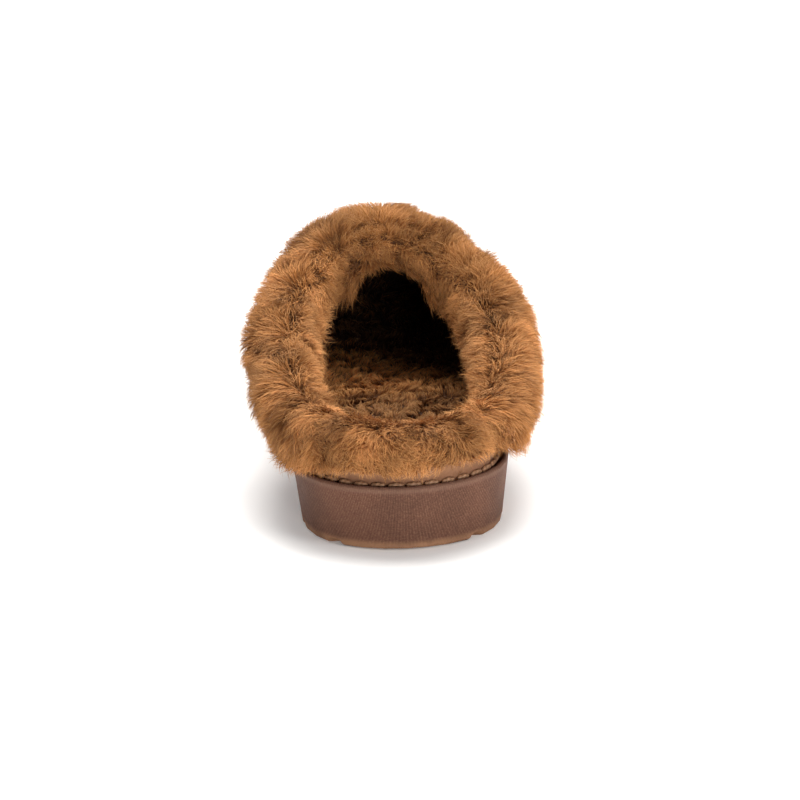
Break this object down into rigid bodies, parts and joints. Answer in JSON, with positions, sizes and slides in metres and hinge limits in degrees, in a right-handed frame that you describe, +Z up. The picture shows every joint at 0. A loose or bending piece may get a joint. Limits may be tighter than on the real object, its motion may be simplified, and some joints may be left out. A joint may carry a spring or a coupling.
{
  "type": "clog slipper",
  "caption": "Clog slipper for the right foot: hollow suede upper with a deep shearling cuff, shearling footbed and a thick moulded sole with a stitched rim.",
  "frame": {"origin": "middle of the bounding box at the floor, under the sole", "axes": "+Z up, +Y from heel to toe, +X to the outer side of a right foot"},
  "size_m": [0.1054, 0.2694, 0.0871],
  "materials": {
    "sole": "matt moulded brown foam with fine embossed lines",
    "upper": "tan brown suede",
    "cuff": "deep golden brown shearling",
    "footbed": "short golden brown shearling"
  },
  "bodies": {
    "root": {"sole": "sole", "upper": "upper", "cuff": "cuff", "footbed": "footbed"}
  },
  "joints": []
}
